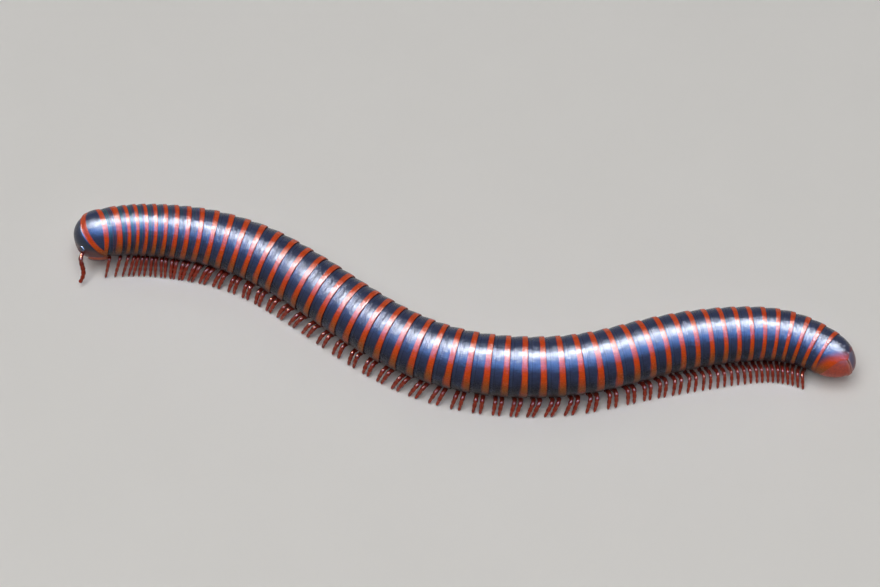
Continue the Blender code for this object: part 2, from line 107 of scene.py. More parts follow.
DOME_RADIUS = 0.0035
HEAD_RADIUS = 0.0033
HEAD_FRONT = 0.0037
MOUTH_DROP = 0.0041
MOUTH_WIDTH_SHARE = 0.80
JAW_FULLNESS = 3.2
COLLUM_SLANT = radians(36)
COLLUM_FRONT_TOP = 0.0019
MARGIN_TOP_SHARE = 0.6
LOBE_DEPTH = 0.0024
EYE_LENGTH = 0.0010
EYE_HEIGHT = 0.0008
EYE_ANGLE = radians(42)
ANTENNA_RADIUS = 0.00034
ANTENNA_ROOT = (0.0017, 0.0026, -0.0015)
RIGHT_ANTENNA_SWEEP = 0.2
ANTENNA_STEPS = (
    (0.0012, 0.0006, -0.0002), (0.0010, -0.0001, -0.0017), (0.0005, 0.0007, -0.0016),
)
TAIL_TIP = 0.1194
TAIL_BLUNTNESS = 1.8
VALVE_START = 0.1166
VALVE_SLANT = radians(32)
TAIL_ROLL = 0.40
TAIL_ROLL_TINT = 0.55
TRUNK_NODES = [f"trunk_{number}" for number in range(1, 9)]

# Detail that only the visual model has: metres, or shares of what they belong to
RING_SIDES = 132
RING_WAVE = 0.006
RING_SPREAD = 0.003
LEG_SIDES = 10
LINE_SAMPLES = 120
PLATE_SIDES = 20
PLATE_LENGTH = 0.00042
PLATE_WIDTH = 0.50
PLATE_DEPTH = 0.00017
PLATE_SQUARENESS = 0.7
PLATE_PROFILE = (
    # share of the plate's size, depth below the belly
    (0.999, -0.00012), (0.93, 0.00006), (0.78, 0.00013), (0.50, 0.00016), (0.2, 0.00017),
)
COLLUM_GRID = (44, 141)
COLLUM_CORNER = 0.10
COLLUM_AROUND = 0.85
COLLUM_THICKNESS = 0.00018
SHARP_ANGLE = radians(50)
HEAD_GRID = (110, 200)
CROWN_ANGLE = 0.02
HEAD_BACK_SHARE = 0.3
TUCK_START = 0.00015
TUCK_LENGTH = 0.0007
TUCK_BELOW = 0.0003
TUCK_ABOVE = 0.0002
TUCK_DEPTH = 0.13
SOCKET_SPREAD = 1.12
SOCKET_FRONT = 1.18
HOLLOW_DROP = (0.0022, 0.0036)
HOLLOW_FRONT = 0.001
JAW_SIDES = 48
JAW_SQUARENESS = 0.72
JAW_TURN = radians(76)
JAW_HALF_WIDTH = radians(25)
JAW_TILT = radians(131)
JAW_HALF_HEIGHT = radians(19)
JAW_LIFT = 0.00033
JAW_PROFILE = (
    # share of the plate's size, lift off the head
    (1.04, -0.00012), (1.0, 0.00004), (0.96, 0.00013), (0.88, 0.00020), (0.74, 0.00026),
    (0.55, 0.00030), (0.3, 0.00032), (0.1, 0.00033),
)
UPPER_HALF_WIDTH = radians(46)
UPPER_TILT = radians(133)
UPPER_HEIGHT = radians(24)
UPPER_CROWN = 0.00010
UPPER_THICKNESS = 0.00022
LOWER_HALF_WIDTH = 0.0017
LOWER_HALF_LENGTH = 0.0017
LOWER_FRONT = 0.0002
LOWER_CROWN = 0.00035
LOWER_DROP = 0.00365
LOWER_INSIDE = -0.0035
SEAM_HEIGHT = 0.00005
EYE_SIDES = 40
EYE_LIFT = 0.00004
EYE_PROFILE = ((1.10, -0.00010), (1.0, 0.00003), (0.8, 0.00004), (0.4, 0.00004))
BEAD_PITCH = 0.000145
BEAD_LIFT = 0.00003
BEAD_HEIGHT = 0.8
ANTENNA_SIDES = 14
JOINTS = 7
ANTENNA_PROFILE = (
    # share of the joint's length, girth, how near its crease
    (0.02, 0.76, 1.0), (0.14, 0.84, 0.4), (0.50, 0.94, 0.0), (0.85, 1.02, 0.0), (0.97, 0.98, 0.2),
)
CONE_SPREAD = 0.00010
CONE_ROOT = 0.00006
CONE_PROFILE = ((0.0, 0.00006), (0.00006, 0.00005), (0.00010, 0.00003))
CONE_LENGTH = 0.00014
HALVINGS = 36
TAIL_SIDES = 120
TAIL_ROWS = 34
TAIL_FRONT = TRUNK_END - 0.0002
TAIL_GAP = 0.00005
TAIL_FIT = 0.97
TAIL_GIRTH = 0.972
TAIL_TUCK = 0.02
TAIL_TUCK_END = 0.12
TAIL_SHORTEST = 0.0003
TAIL_RIM_SHARES = (1.0, 0.985, 0.93, 0.80)
TAIL_RIM_SWELLING = (0.002, 0.004, 0.005, 0.003, -0.01, -0.035, -0.05, -0.06)
TAIL_PLACE = 0.0030
TAIL_AROUND = 0.75
TAIL_MM = 3.3
VALVE_FIT = 0.965
VALVE_ROWS = 41
VALVE_COLUMNS = 16
VALVE_SHARE = 0.985
VALVE_SLIT = 0.00007
VALVE_FURTHEST = 0.006
VALVE_LOWEST = -0.0006
VALVE_HIGHEST = 0.0045
VALVE_CROWN = 0.00010
VALVE_LIP_DEPTH = 0.0009
VALVE_PROFILE = (
    # share of the way across, depth in units of VALVE_LIP_DEPTH
    (0.0, -0.55), (0.0, -0.30), (0.0, -0.12), (0.012, -0.03), (0.03, 0.0), (0.06, 0.0), (0.10, 0.0),
)
VALVE_RIM_START = 0.1

# Ridges and hollows: height, place of the crest, width
COLLUM_BEAD = (0.00007, 0.00012, 0.00010)
SOCKET = (0.10, 0.0, 0.00048)
SOCKET_RIM = (0.025, 0.00075, 0.00018)
FACE_HOLLOW = (0.035, 0.0, 0.0009)
TAIL_POINT = (0.00045, 0.0, 0.30)
VALVE_LIP = (0.00016, 0.00018, 0.00012)

PER_METRE = 1000.0
DOME_MM = DOME_RADIUS * PER_METRE
SIDES = (("left", 1), ("right", -1))

# Looks: shares of the way round from the top, ring numbers, bump heights
# Down the flank, from FLANK on, painted shade darkens the shell; the bands also widen there
FLANK = (0.24, 0.48)
# Below UNDERSIDE, painted shade turns the shell near black
UNDERSIDE = (0.46, 0.63)
NOISE_STEP = 3.7
WIDE_BAND_RINGS = (8, 18)
# TEAL_RINGS: the rings over which the painted teal sheen fades out
TEAL_RINGS = (12, 3)
STRIPED_RINGS = (13, 6)
SWELL_HEIGHT = 0.000066
WRINKLE_HEIGHT = 0.000072
GRAIN_HEIGHT = 0.000022

# Colours
SLATE = (0.036, 0.048, 0.108)
# Painted shade: the slate of the lower flanks
SHADED_SLATE = (0.008, 0.008, 0.016)
BLUE_SLATE = (0.040, 0.056, 0.125)
# Pale strip near the front of each ring: the prozonite's paler slate, partly a painted highlight on
# its convex face
PALE_STRIP_AND_HIGHLIGHT = (0.06, 0.08, 0.16)
ORANGE = (0.70, 0.072, 0.005)
RED_ORANGE = (0.58, 0.045, 0.010)
# The orange of the lower flanks: browner, and darkened by painted shade
SHADED_OCHRE = (0.23, 0.062, 0.003)
# Painted shade on the underside
PAINTED_BELLY_SHADE = (0.008, 0.005, 0.004)
# Painted sheen: teal on the top of the front rings
TEAL_SHEEN = (0.03, 0.14, 0.16)
MAROON = (0.090, 0.012, 0.020)
STRIPE = (0.24, 0.045, 0.030)
# Painted shade in the suture groove across each ring
RING_GROOVE_SHADE = (0.008, 0.009, 0.016)
# Painted shadow at the front of each ring, under the rear lip of the ring before
FRONT_SHADOW = (0.006, 0.006, 0.010)
REAR_EDGE = (0.16, 0.014, 0.010)
COLLUM_EDGE = (0.16, 0.020, 0.012)
TAIL_EDGE = (0.55, 0.25, 0.20)
VALVE_RED = (0.42, 0.046, 0.006)
VALVE_DARK_RED = (0.29, 0.030, 0.006)
VALVE_TOP = (0.075, 0.050, 0.085)
VALVE_RIM = (0.60, 0.24, 0.17)
HEAD_SLATE = (0.012, 0.016, 0.034)
HEAD_MAROON = (0.10, 0.022, 0.018)
HEAD_ORANGE = (0.34, 0.066, 0.012)
SUTURE = (0.006, 0.006, 0.008)
JAW_EDGE = (0.34, 0.070, 0.016)
JAW_MIDDLE = (0.060, 0.022, 0.034)
JAW_FLECK = (0.16, 0.05, 0.04)
LIMB_ROOT = (0.15, 0.007, 0.003)
LIMB_TIP = (0.30, 0.020, 0.006)
LIMB_CLOUD = (0.17, 0.009, 0.004)
LIMB_JOINT = (0.42, 0.10, 0.06)
LIMB_SHINE = {"Specular_IOR_Level": 0.5, "Specular_Tint": (1.0, 0.46, 0.24)}
EYE_COLOURS = ((0.004, 0.004, 0.006), (0.016, 0.014, 0.018))
BELLY_COLOURS = ((0.040, 0.018, 0.016), (0.11, 0.035, 0.025))
FLOOR_COLOURS = ((0.82, 0.81, 0.79), (0.85, 0.84, 0.82))
FLOOR_SIZE = 4.0
SKY_COLOUR = (0.94, 0.96, 1.0)
SKY_STRENGTH = 0.17

CAMERA_TARGET = (-0.0026, 0.0013, 0.0057)
CAMERA_DISTANCE = 0.400
CAMERA_ELEVATION = radians(55)
CAMERA_LENS = 115.4
CAMERA_SENSOR = 36.0
CAMERA_CLIP = 0.01

RANDOM = np.random.default_rng(7)


def ease(value, start, end):
    """0 before the start, 1 after the end, smooth between them."""
    share = np.clip((value - start) / (end - start), 0.0, 1.0)
    return share * share * (3.0 - 2.0 * share)


def spline_slopes(values):
    count = len(values)
    matrix = np.eye(count) * 4.0
    matrix += np.eye(count, k=1) + np.eye(count, k=-1)
    matrix[0, 0] = 2.0
    matrix[-1, -1] = 2.0
    right = np.zeros_like(values)
    right[1:-1] = 3.0 * (values[2:] - values[:-2])
    right[0] = 3.0 * (values[1] - values[0])
    right[-1] = 3.0 * (values[-1] - values[-2])
    return np.linalg.solve(matrix, right)


def spline(knots, places):
    """Points of the natural cubic spline through the knots, at places counted in knots."""
    slopes = spline_slopes(knots)
    first = np.minimum(places.astype(int), len(knots) - 2)
    t = (places - first)[:, None]
    return (
        knots[first] * (2 * t ** 3 - 3 * t ** 2 + 1)
        + slopes[first] * (t ** 3 - 2 * t ** 2 + t)
        + knots[first + 1] * (3 * t ** 2 - 2 * t ** 3)
        + slopes[first + 1] * (t ** 3 - t ** 2)
    )


ROUTE_KNOTS = np.array(ROUTE) + np.array(ROUTE_OFFSET)
ROUTE_POINTS = spline(ROUTE_KNOTS, np.linspace(0.0, len(ROUTE) - 1.0, ROUTE_SAMPLES))
ROUTE_STEPS = np.hypot(*np.diff(ROUTE_POINTS, axis=0).T)
ROUTE_DISTANCES = np.concatenate(([0.0], np.cumsum(ROUTE_STEPS)))


def full_turn(count):
    return tau * np.arange(count) / count


def ridge(value, height, place, width):
    """A rounded ridge of this height, with its crest at this place."""
    return height * np.exp(-((value - place) / width) ** 2)


def signed_power(value, power):
    return np.sign(value) * np.abs(value) ** power


def flatten(rise):
    """Heights on a round body, with the belly flattened."""
    return np.where(rise < 0.0, rise * BELLY_FLATTENING, rise)


def doubled(outer, inner):
    """Rows out along one skin and back along the other."""
    return np.concatenate((outer, inner[::-1]), axis=0)


def unit(vectors):
    return vectors / np.linalg.norm(vectors, axis=-1, keepdims=True)


def body_radius(distance):
    neck = NECK_NARROWING * np.exp(-(distance - NECK_START) / NECK_FADE)
    tail = TAIL_NARROWING * np.exp((distance - TAIL_START) / TAIL_FADE)
    return BODY_RADIUS - neck - tail


def axis_points(distance):
    x = np.interp(distance, ROUTE_DISTANCES, ROUTE_POINTS[:, 0])
    y = np.interp(distance, ROUTE_DISTANCES, ROUTE_POINTS[:, 1])
    reach = np.clip(distance, COLLUM_END, TRUNK_END)
    lift = HEAD_LIFT * (1.0 - ease(reach, 0.0, HEAD_LIFT_END))
    drop = TAIL_DROP * ease(reach, SWING_FADE_START, TRUNK_END)
    z = BELLY_CLEARANCE + lift - drop + BELLY_FLATTENING * body_radius(reach)
    return np.stack((x, y, z), axis=-1)


def axis_frames(distance):
    """Points of the axis with the directions to the tail, to the left and up."""
    distance = np.asarray(distance, float)
    along = unit(axis_points(distance + FRAME_STEP) - axis_points(distance - FRAME_STEP))
    left = unit(np.cross(along, (0.0, 0.0, 1.0)))
    return axis_points(distance), along, left, np.cross(left, along)


def body_points(distance, side, rise):
    """Points at these offsets to the left of and above the axis."""
    centre, _, left, up = axis_frames(distance)
    return centre + left * np.asarray(side)[..., None] + up * np.asarray(rise)[..., None]


def ring_skew(distance):
    return RING_SKEW * (1.0 - ease(distance, SKEW_START, SKEW_END))


def ring_margins():
    lengths = []
    for ring in range(2, RING_COUNT + 1):
        length = NECK_RING + (MIDDLE_RING - NECK_RING) * ease(ring, *NECK_RINGS)
        length -= (MIDDLE_RING - TAIL_RING) * ease(ring, *TAIL_RINGS)
        if ring == 2:
            length += SECOND_RING_EXTRA
        lengths.append(length)
    scale = (TRUNK_END - COLLUM_END) / sum(lengths)
    return COLLUM_END + scale * np.concatenate(([0.0], np.cumsum(lengths)))


MARGINS = ring_margins()


def add_object(name, data):
    thing = bpy.data.objects.new(name, data)
    bpy.context.scene.collection.objects.link(thing)
    return thing


class Shape:
    """Grids of points, with named numbers at each point, that become one mesh."""

    def __init__(self):
        self.points = []
        self.faces = []
        self.values = {}
        self.count = 0

    def add(self, points, values=None, around=True, along=False, first=None, last=None):
        """Adds rows of points. A pole closes the first or the last row."""
        rows, columns = points.shape[:2]
        index = self.count + np.arange(rows * columns).reshape(rows, columns)
        grid = np.vstack((index, index[:1])) if along else index
        grid = np.hstack((grid, grid[:, :1])) if around else grid
        quads = (grid[:-1, :-1], grid[:-1, 1:], grid[1:, 1:], grid[1:, :-1])
        self.faces.extend(np.stack(quads, axis=-1).reshape(-1, 4).tolist())
        self.points.extend(points.reshape(-1, 3).tolist())
        poles = []
        for pole, row in ((first, 0), (last, -1)):
            if pole is None:
                continue
            number = self.count + rows * columns + len(poles)
            poles.append(row)
            self.points.append(list(pole))
            rim = grid[row].tolist()
            for one, other in zip(rim, rim[1:]):
                self.faces.append((number, other, one) if row == 0 else (one, other, number))
        for name, value in (values or {}).items():
            whole = np.broadcast_to(np.asarray(value, float), (rows, columns))
            column = self.values.setdefault(name, [])
            column.extend(whole.ravel().tolist())
            column.extend(float(whole[row].mean()) for row in poles)
        self.count += rows * columns + len(poles)

    def item(self, name, material, nodes=()):
        """The finished piece: smooth, on the root body, in place of these nodes."""
        data = bpy.data.meshes.new(name)
        data.from_pydata(self.points, [], self.faces)
        for key, column in self.values.items():
            layer = data.attributes.new(key, "FLOAT", "POINT")
            layer.data.foreach_set("value", np.array(column, np.float32))
        data.shade_smooth()
        data.materials.append(material)
        piece = add_object(name, data)
        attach(piece, "root")
        if nodes:
            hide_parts(*nodes)
        return piece


class Paint:
    """A Principled material whose colours are put together from nodes."""

    def __init__(self, name):
        self.material = bpy.data.materials.new(name)
        self.material.use_nodes = True
        self.tree = self.material.node_tree
        self.shader = self.tree.nodes["Principled BSDF"]

    def put(self, socket, value):
        if isinstance(value, bpy.types.NodeSocket):
            self.tree.links.new(value, socket)
        elif socket.type == "RGBA":
            socket.default_value = (*value[:3], 1.0)
        else:
            socket.default_value = value

    def node(self, kind, inputs, **settings):
        node = self.tree.nodes.new(kind)
        for key, value in settings.items():
            setattr(node, key, value)
        for key, value in inputs.items():
            self.put(node.inputs[key], value)
        return node

    def read(self, name):
        return self.node("ShaderNodeAttribute", {}, attribute_name=name).outputs["Fac"]

    def maths(self, operation, first, second=0.0, third=0.0):
        inputs = {0: first, 1: second, 2: third}
        return self.node("ShaderNodeMath", inputs, operation=operation).outputs[0]

    def times(self, first, second):
        return self.maths("MULTIPLY", first, second)

    def plus(self, first, second):
        return self.maths("ADD", first, second)

    def step(self, value, start, end, low=0.0, high=1.0):
        inputs = {"Value": value, "From Min": start, "From Max": end, "To Min": low, "To Max": high}
        kind = "ShaderNodeMapRange"
        return self.node(kind, inputs, interpolation_type="SMOOTHSTEP").outputs["Result"]

    def peak(self, value, place, width):
        """1 where the value is at the place, and 0 further off than the width."""
        off = self.maths("ABSOLUTE", self.maths("SUBTRACT", value, place))
        return self.step(off, 0.0, width, 1.0, 0.0)

    def mix(self, factor, first, second, blend="MIX"):
        node = self.node("ShaderNodeMix", {}, data_type="RGBA", blend_type=blend)
        self.put(node.inputs[0], factor)
        self.put(node.inputs[6], first)
        self.put(node.inputs[7], second)
        return node.outputs[2]

    def tint(self, colour, other, mask, amount):
        """The colour, moved by this amount towards the other where the mask is 1."""
        return self.mix(self.times(mask, amount), colour, other)

    def vector(self, x, y, z):
        return self.node("ShaderNodeCombineXYZ", {"X": x, "Y": y, "Z": z}).outputs[0]

    def fade(self, name, start, end):
        return self.step(self.read(name), start, end)

    def noise(self, vector, scale, detail=3.0, roughness=0.5):
        inputs = {"Vector": vector, "Scale": scale, "Detail": detail, "Roughness": roughness}
        return self.node("ShaderNodeTexNoise", inputs).outputs["Fac"]

    def place(self):
        return self.node("ShaderNodeTexCoord", {}).outputs["Object"]

    def bump(self, height, distance, normal=None):
        inputs = {"Height": height, "Distance": distance, "Strength": 1.0}
        node = self.node("ShaderNodeBump", inputs)
        if normal is not None:
            self.put(node.inputs["Normal"], normal)
        return node.outputs["Normal"]

    def varnish(self, colour, grain, rough, coat, normal, **others):
        """Finishes a glossy skin, with its coat's weight and roughness."""
        weight, coat_rough = coat
        return self.finish(
            Base_Color=colour,
            Roughness=self.step(grain, 0.3, 0.7, *rough),
            Coat_Weight=weight,
            Coat_Roughness=coat_rough,
            Normal=normal,
            **others,
        )

    def finish(self, **inputs):
        for key, value in inputs.items():
            self.put(self.shader.inputs[key.replace("_", " ")], value)
        return self.material


# Materials


def shell_paint(name, band, low):
    """Slate shell plates with orange bands, glossy, finely wrinkled and striped, with painted shade
    darkening the lower flanks and the underside.
    """
    paint = Paint(name)
    around = paint.read("around")
    run = paint.read("run")
    arc = paint.read("arc")
    ring = paint.read("ring")
    flank = paint.step(around, *FLANK)
    skin = paint.vector(run, arc, ring)
    broad = paint.noise(skin, 0.45, 3.0)
    grain = paint.noise(skin, 5.0, 4.0, 0.6)
    across = paint.noise(paint.vector(paint.times(run, 9.0), arc, ring), 1.2, 3.0, 0.6)
    drawn_out = paint.vector(paint.times(run, 0.4), paint.times(arc, 9.0), ring)
    lines = paint.noise(drawn_out, 1.2, 3.0, 0.6)
    # Painted shade: the slate and the orange grow darker down the flank
    slate = paint.mix(flank, SLATE, SHADED_SLATE)
    slate = paint.tint(slate, BLUE_SLATE, paint.step(broad, 0.45, 0.75), 0.5)
    orange = paint.mix(flank, ORANGE, SHADED_OCHRE)
    orange = paint.tint(orange, RED_ORANGE, paint.step(broad, 0.40, 0.80), 0.6)
    banded = band(paint, flank, broad)
    colour = paint.mix(banded, slate, orange)
    # Painted shade: the underside turns near black
    colour = paint.mix(paint.step(around, *UNDERSIDE), colour, PAINTED_BELLY_SHADE)
    tone = paint.plus(paint.times(grain, 0.5), paint.times(lines, 0.5))
    tone = paint.step(tone, 0.30, 0.70, 0.78, 1.20)
    colour = paint.mix(1.0, colour, paint.vector(tone, tone, tone), "MULTIPLY")
    colour = low(paint, colour)
    wrinkles = paint.plus(paint.times(across, 0.60), paint.times(lines, 0.40))
    normal = paint.bump(broad, SWELL_HEIGHT)
    normal = paint.bump(wrinkles, WRINKLE_HEIGHT, normal)
    normal = paint.bump(grain, GRAIN_HEIGHT, normal)
    rough = paint.step(grain, 0.3, 0.7, 0.10, 0.22)
    rough = paint.plus(rough, paint.times(banded, 0.03))
    rough = paint.plus(rough, paint.times(flank, 0.12))
    return paint.finish(
        Base_Color=colour,
        Roughness=rough,
        Specular_IOR_Level=0.15,
        Coat_Weight=0.03,
        Coat_Roughness=0.10,
        Normal=normal,
    )


def by_ring(paint, first, last, start=0.0, end=1.0):
    """A number that goes from start to end between two rings."""
    return paint.step(paint.read("ring"), first * NOISE_STEP, last * NOISE_STEP, start, end)


def ring_paint():
    def band(paint, flank, broad):
        waver = paint.times(paint.maths("SUBTRACT", broad, 0.5), 0.10)
        place = paint.plus(paint.read("place"), waver)
        widening = by_ring(paint, *WIDE_BAND_RINGS, -0.075, 0.0)
        start = paint.plus(widening, paint.maths("MULTIPLY_ADD", flank, -0.10, 0.645))
        end = paint.plus(widening, paint.maths("MULTIPLY_ADD", flank, -0.02, 0.705))
        return paint.step(place, start, end)

    def low(paint, colour):
        place = paint.read("place")
        # Painted sheen: a teal tint on top of the front rings, near the front of each ring
        top = paint.fade("around", 0.40, 0.15)
        teal_sheen = paint.times(by_ring(paint, *TEAL_RINGS), top)
        teal_sheen = paint.times(teal_sheen, paint.peak(place, 0.20, 0.25))
        colour = paint.tint(colour, TEAL_SHEEN, teal_sheen, 0.7)
        colour = paint.tint(colour, MAROON, paint.peak(place, 0.650, 0.045), 0.55)
        first = paint.peak(place, 0.37, 0.030)
        second = paint.peak(place, 0.49, 0.024)
        stripes = paint.times(by_ring(paint, *STRIPED_RINGS), paint.maths("MAXIMUM", first, second))
        colour = paint.tint(colour, STRIPE, stripes, 0.55)
        # Pale strip near the front of each ring: the prozonite's paler slate, partly a painted
        # highlight on its convex face
        colour = paint.tint(colour, PALE_STRIP_AND_HIGHLIGHT, paint.peak(place, 0.13, 0.09), 0.15)
        # Painted shade in the suture groove
        colour = paint.tint(colour, RING_GROOVE_SHADE, paint.peak(place, 0.215, 0.022), 0.7)
        # Painted shadow at the front of each ring, under the rear lip of the ring before
        colour = paint.mix(paint.step(place, 0.03, 0.0), colour, FRONT_SHADOW)
        return paint.tint(colour, REAR_EDGE, paint.step(place, 0.955, 0.995), 0.6)

    return shell_paint("ring_shell", band, low)


def collum_paint():
    def band(paint, flank, broad):
        front = paint.fade("front", 1.12, 0.90)
        rear = paint.fade("rear", 0.80, 0.62)
        lobe = paint.fade("lobe", 0.95, 0.50)
        return paint.maths("MAXIMUM", paint.maths("MAXIMUM", front, rear), lobe)

    def low(paint, colour):
        return paint.tint(colour, COLLUM_EDGE, paint.fade("front", 0.10, 0.0), 0.5)

    return shell_paint("collum_shell", band, low)


def tail_paint():
    def band(paint, flank, broad):
        drop = paint.times(paint.read("around"), 2.6)
        return paint.step(paint.plus(paint.read("place"), drop), 0.80, 1.40)

    def low(paint, colour):
        return paint.tint(colour, TAIL_EDGE, paint.fade("place", 1.25, 1.45), 0.3)

    return shell_paint("tail_shell", band, low)


def valve_paint():
    paint = Paint("anal_valves")
    grain = paint.noise(paint.place(), 2600.0, 4.0, 0.6)
    colour = paint.mix(paint.step(grain, 0.35, 0.7), VALVE_RED, VALVE_DARK_RED)
    colour = paint.mix(paint.fade("top", 0.35, 0.95), colour, VALVE_TOP)
    colour = paint.tint(colour, VALVE_RIM, paint.fade("rim", 0.35, 0.0), 0.6)
    bump = paint.bump(grain, 0.000025)
    return paint.varnish(colour, grain, (0.32, 0.46), (0.08, 0.2), bump, Specular_IOR_Level=0.35)


def head_paint():
    paint = Paint("head_shell")
    rise = paint.read("rise")
    grain = paint.noise(paint.place(), 2200.0, 4.0, 0.6)
    broad = paint.noise(paint.place(), 420.0, 2.0)
    level = paint.plus(rise, paint.times(paint.maths("SUBTRACT", broad, 0.5), 0.9))
    colour = paint.mix(paint.step(level, 0.6, -0.7), HEAD_SLATE, HEAD_MAROON)
    colour = paint.mix(paint.step(level, -1.4, -2.4), colour, HEAD_ORANGE)
    suture = paint.times(paint.peak(paint.read("side"), 0.0, 0.05), paint.step(rise, -1.2, -0.4))
    colour = paint.tint(colour, SUTURE, suture, 0.7)
    normal = paint.bump(grain, 0.000018)
    normal = paint.bump(paint.times(suture, -1.0), 0.00004, normal)
    return paint.varnish(colour, grain, (0.30, 0.44), (0.10, 0.15), normal, Specular_IOR_Level=0.35)


def jaw_paint():
    paint = Paint("mouthparts")
    grain = paint.noise(paint.place(), 2400.0, 4.0, 0.6)
    colour = paint.mix(paint.fade("edge", 0.20, 0.60), JAW_EDGE, JAW_MIDDLE)
    colour = paint.mix(paint.step(grain, 0.5, 0.8), colour, JAW_FLECK)
    bump = paint.bump(grain, 0.000022)
    return paint.varnish(colour, grain, (0.30, 0.45), (0.10, 0.18), bump, Specular_IOR_Level=0.35)


def limb_paint():
    """Glossy red limbs, paler at their joints and brighter towards the tips."""
    paint = Paint("limbs")
    grain = paint.noise(paint.place(), 3000.0, 3.0, 0.6)
    tone = paint.noise(paint.place(), 500.0, 2.0)
    colour = paint.mix(paint.fade("length", 0.25, 1.0), LIMB_ROOT, LIMB_TIP)
    colour = paint.mix(paint.step(tone, 0.45, 0.75), colour, LIMB_CLOUD)
    colour = paint.tint(colour, LIMB_JOINT, paint.read("joint"), 0.35)
    bump = paint.bump(grain, 0.000012)
    return paint.varnish(colour, grain, (0.18, 0.30), (0.08, 0.07), bump, **LIMB_SHINE)


def eye_paint():
    paint = Paint("ocelli")
    grain = paint.noise(paint.place(), 6000.0, 2.0)
    bump = paint.bump(grain, 0.000004)
    return paint.varnish(paint.mix(grain, *EYE_COLOURS), grain, (0.06, 0.16), (0.8, 0.05), bump)


def belly_paint():
    paint = Paint("belly_plates")
    grain = paint.noise(paint.place(), 2500.0, 3.0, 0.6)
    bump = paint.bump(grain, 0.00002)
    return paint.varnish(paint.mix(grain, *BELLY_COLOURS), grain, (0.30, 0.48), (0.3, 0.2), bump)


# Trunk rings

RING_PROFILE = (
    # share of the ring's length, girth in units of the body's radius
    (-0.12, 0.930), (-0.04, 0.946), (0.02, 0.956), (0.075, 0.9625), (0.090, 0.9580),
    (0.105, 0.9640), (0.17, 0.968), (0.200, 0.969), (0.215, 0.962), (0.232, 0.969), (0.26, 0.975),
    (0.305, 0.9785), (0.320, 0.9745), (0.335, 0.9810), (0.46, 0.988), (0.60, 0.995), (0.76, 1.000),
    (0.88, 1.002), (0.945, 1.001), (0.980, 0.996), (0.998, 0.986), (0.990, 0.974), (0.950, 0.966),
    (0.60, 0.945), (0.10, 0.915),
)


def make_rings():
    shape = Shape()
    profile = np.array(RING_PROFILE)
    angles = full_turn(RING_SIDES)
    turn = np.minimum(angles, tau - angles) / pi
    signed = np.where(angles > pi, angles - tau, angles)
    for ring in range(2, RING_COUNT + 1):
        front, rear = MARGINS[ring - 2], MARGINS[ring - 1]
        share = profile[:, 0][:, None]
        wave = RING_WAVE * np.sin(3 * angles + RANDOM.uniform(0, 6))[None, :]
        distance = front + (rear - front) * (share + wave * ease(share, 0.3, 0.9))
        girth = profile[:, 1][:, None] * (1.0 + RANDOM.uniform(-RING_SPREAD, RING_SPREAD))
        radius = girth * body_radius(distance)
        rise = flatten(radius * np.cos(angles))
        points = body_points(distance, radius * np.sin(angles), rise)
        back = radius * np.sin(angles) * math.sin(SKEW_ANGLE) + rise * math.cos(SKEW_ANGLE)
        back = back * ring_skew(distance)
        points = points + axis_frames(distance)[1] * back[..., None]
        values = {
            "place": share,
            "around": turn,
            "arc": signed * BODY_RADIUS * PER_METRE,
            "run": distance * PER_METRE,
            "ring": ring * NOISE_STEP,
        }
        shape.add(points, values, along=True)
    shape.item("trunk_rings", ring_paint(), TRUNK_NODES)


# Legs

LEG_STATIONS = (
    # share of the length, radius in units of the leg's, how near a joint
    (0.00, 0.95, 0.0), (0.10, 1.00, 0.0), (0.150, 0.98, 0.2), (0.160, 0.80, 1.0),
    (0.175, 0.84, 0.6), (0.24, 0.98, 0.0), (0.31, 1.04, 0.0), (0.340, 1.02, 0.3),
    (0.350, 0.80, 1.0), (0.365, 0.84, 0.6), (0.42, 0.95, 0.0), (0.48, 1.00, 0.0),
    (0.505, 0.98, 0.3), (0.515, 0.76, 1.0), (0.530, 0.79, 0.6), (0.58, 0.93, 0.0),
    (0.63, 0.97, 0.0), (0.655, 0.95, 0.3), (0.665, 0.76, 1.0), (0.680, 0.79, 0.6),
    (0.72, 0.88, 0.0), (0.77, 0.90, 0.0), (0.790, 0.87, 0.3), (0.798, 0.68, 1.0),
    (0.812, 0.70, 0.6), (0.86, 0.74, 0.0), (0.92, 0.66, 0.0), (0.950, 0.54, 0.0),
    (0.956, 0.30, 0.6), (0.970, 0.24, 0.0), (0.988, 0.14, 0.0),
)
LEG_THICKNESS = 0.00034


def leg_places():
    """How far back each pair of legs stands, ring after ring."""
    places = []
    for ring in range(2, RING_COUNT):
        front, rear = MARGINS[ring - 2], MARGINS[ring - 1]
        pairing = ease(ring, *LEG_PAIRING_RINGS) - ease(ring, *LEG_UNPAIRING_RINGS)
        half = LEG_SPREAD - LEG_PAIRING * pairing
        shares = (LEG_MIDDLE - half, LEG_MIDDLE + half)
        if ring in SINGLE_PAIR_RINGS:
            shares = (SINGLE_LEG_PLACE,)
        for share in shares:
            distance = front + share * (rear - front)
            ahead = ring_skew(distance) * math.cos(SKEW_ANGLE) * body_radius(distance)
            ahead *= BELLY_FLATTENING
            places.append(float(distance - ahead))
    return places


